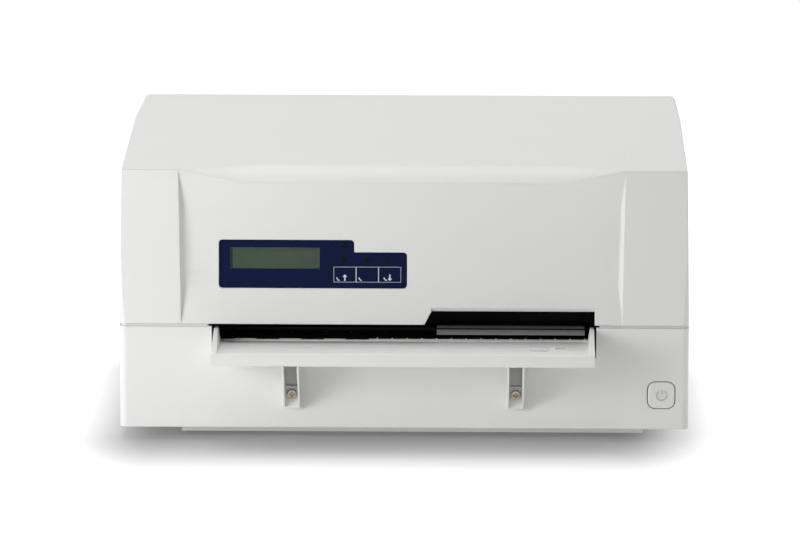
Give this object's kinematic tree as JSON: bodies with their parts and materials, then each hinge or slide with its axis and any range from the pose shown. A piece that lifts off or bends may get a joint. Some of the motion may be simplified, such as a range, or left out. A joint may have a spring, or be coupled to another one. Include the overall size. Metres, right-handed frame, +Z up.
{
  "type": "dot matrix printer",
  "caption": "Flatbed serial dot matrix printer: grey case with hinged cover, front paper table, control panel, power button and a print head that travels along a guide shaft.",
  "frame": {"origin": "on the floor, under the middle of the printer's bounding box", "axes": "+X to the right as seen from the front, +Y towards the rear, +Z up"},
  "size_m": [0.384, 0.278, 0.203],
  "materials": {
    "case_plastic": "fine moulded grain, warm light grey",
    "black_plastic": "matt black moulding",
    "navy_overlay": "dark blue printed membrane, satin",
    "clear_window": "clear acrylic lens",
    "display_glass": "grey-green liquid crystal panel",
    "lamp_lens": "dark tinted lamp",
    "circuit_board": "green solder mask",
    "zinc_steel": "zinc-plated sheet steel",
    "bright_steel": "ground and plated steel",
    "head_aluminium": "cast aluminium",
    "motor_steel": "dark laminated steel",
    "roller_rubber": "ground black rubber",
    "natural_nylon": "natural nylon",
    "ribbon_cloth": "inked nylon ribbon",
    "foot_rubber": "soft black rubber"
  },
  "bodies": {
    "case": {"lower_case": "case_plastic", "chassis_tray": "zinc_steel", "feet": "foot_rubber", "rear_housing": "case_plastic", "hinge_pins": "zinc_steel", "front_table": "case_plastic", "left_table_bracket": "case_plastic", "right_table_bracket": "case_plastic", "bracket_screws": "bright_steel", "left_side_frame": "zinc_steel", "right_side_frame": "zinc_steel", "front_beam": "black_plastic", "rear_beam": "zinc_steel", "platen": "bright_steel", "front_deck": "black_plastic", "rear_deck": "black_plastic", "upper_guide": "black_plastic", "passbook_guide": "bright_steel", "guide_shaft": "bright_steel", "front_rail": "zinc_steel", "ribbon_cartridge": "black_plastic", "ink_ribbon": "ribbon_cloth", "feed_motor": "motor_steel", "carriage_motor": "motor_steel", "timing_belt": "black_plastic", "shaft_bushes": "natural_nylon", "power_supply": "circuit_board", "mains_inlet": "black_plastic", "power_switch": "black_plastic", "main_board": "circuit_board", "parallel_port": "zinc_steel", "serial_port": "zinc_steel"},
    "cover": {"top_cover": "case_plastic", "panel_overlay": "navy_overlay", "display_window": "clear_window", "display_module": "display_glass", "panel_board": "circuit_board", "status_lamps": "lamp_lens"},
    "left_key": {"left_key": "navy_overlay"},
    "middle_key": {"middle_key": "navy_overlay"},
    "right_key": {"right_key": "navy_overlay"},
    "power_button": {"power_button": "case_plastic"},
    "carriage": {"carriage": "black_plastic", "print_head": "head_aluminium", "head_heat_sink": "head_aluminium", "ribbon_mask": "bright_steel", "carriage_bushes": "natural_nylon"},
    "front_feed": {"front_drive_shaft": "bright_steel", "front_rollers": "roller_rubber", "front_gear": "natural_nylon"},
    "rear_feed": {"rear_drive_shaft": "bright_steel", "rear_rollers": "roller_rubber", "rear_gear": "natural_nylon"},
    "front_idler": {"front_idler_gear": "natural_nylon"},
    "rear_idler": {"rear_idler_gear": "natural_nylon"},
    "pinion": {"motor_pinion": "bright_steel"},
    "front_pinch": {"front_pinch_rollers": "natural_nylon"},
    "rear_pinch": {"rear_pinch_rollers": "natural_nylon"},
    "drive_pulley": {"drive_pulley": "natural_nylon"},
    "idler_pulley": {"idler_pulley": "natural_nylon"}
  },
  "joints": [
    {"name": "cover_hinge", "type": "hinge", "parent": "case", "child": "cover", "pos_m": [0, 0.132, 0.193], "axis": [-1, 0, 0], "range_deg": [0, 70]},
    {"name": "power_press", "type": "slide", "parent": "case", "child": "power_button", "axis": [0, 1, 0], "range_m": [0, 0.003], "stiffness_N_per_m": 400, "springref_m": -0.001},
    {"name": "left_key_press", "type": "slide", "parent": "cover", "child": "left_key", "axis": [0, 0.9971, -0.0756], "range_m": [0, 0.0005], "stiffness_N_per_m": 400, "springref_m": -0.0005},
    {"name": "middle_key_press", "type": "slide", "parent": "cover", "child": "middle_key", "axis": [0, 0.9971, -0.0756], "range_m": [0, 0.0005], "stiffness_N_per_m": 400, "springref_m": -0.0005},
    {"name": "right_key_press", "type": "slide", "parent": "cover", "child": "right_key", "axis": [0, 0.9971, -0.0756], "range_m": [0, 0.0005], "stiffness_N_per_m": 400, "springref_m": -0.0005},
    {"name": "carriage_slide", "type": "slide", "parent": "case", "child": "carriage", "axis": [1, 0, 0], "range_m": [-0.105, 0.105]},
    {"name": "drive_pulley_spin", "type": "hinge", "parent": "case", "child": "drive_pulley", "pos_m": [-0.14, 0.046, 0.112], "axis": [0, 1, 0], "range_deg": [-605, 605]},
    {"name": "idler_pulley_spin", "type": "hinge", "parent": "case", "child": "idler_pulley", "pos_m": [0.14, 0.046, 0.112], "axis": [0, 1, 0], "range_deg": [-605, 605]},
    {"name": "feed_spin", "type": "hinge", "parent": "case", "child": "front_feed", "pos_m": [0, -0.052, 0.06], "axis": [1, 0, 0], "continuous": true},
    {"name": "rear_feed_spin", "type": "hinge", "parent": "case", "child": "rear_feed", "pos_m": [0, 0.048, 0.06], "axis": [1, 0, 0], "continuous": true},
    {"name": "front_idler_spin", "type": "hinge", "parent": "case", "child": "front_idler", "pos_m": [0.172, -0.02775, 0.03762], "axis": [1, 0, 0], "continuous": true},
    {"name": "rear_idler_spin", "type": "hinge", "parent": "case", "child": "rear_idler", "pos_m": [0.172, 0.02375, 0.03762], "axis": [1, 0, 0], "continuous": true},
    {"name": "pinion_spin", "type": "hinge", "parent": "case", "child": "pinion", "pos_m": [0.172, -0.002, 0.034], "axis": [1, 0, 0], "continuous": true},
    {"name": "front_pinch_spin", "type": "hinge", "parent": "case", "child": "front_pinch", "pos_m": [0, -0.052, 0.0743], "axis": [1, 0, 0], "continuous": true},
    {"name": "rear_pinch_spin", "type": "hinge", "parent": "case", "child": "rear_pinch", "pos_m": [0, 0.048, 0.0743], "axis": [1, 0, 0], "continuous": true}
  ],
  "couplings": [
    {"joint": "drive_pulley_spin", "follows": "carriage_slide", "rad_per_m": 100},
    {"joint": "idler_pulley_spin", "follows": "carriage_slide", "rad_per_m": 100},
    {"joint": "rear_feed_spin", "follows": "feed_spin", "ratio": 1},
    {"joint": "front_idler_spin", "follows": "feed_spin", "ratio": -0.83333},
    {"joint": "rear_idler_spin", "follows": "feed_spin", "ratio": -0.83333},
    {"joint": "pinion_spin", "follows": "feed_spin", "ratio": 1.875},
    {"joint": "front_pinch_spin", "follows": "feed_spin", "ratio": -1.3333},
    {"joint": "rear_pinch_spin", "follows": "feed_spin", "ratio": -1.3333}
  ]
}
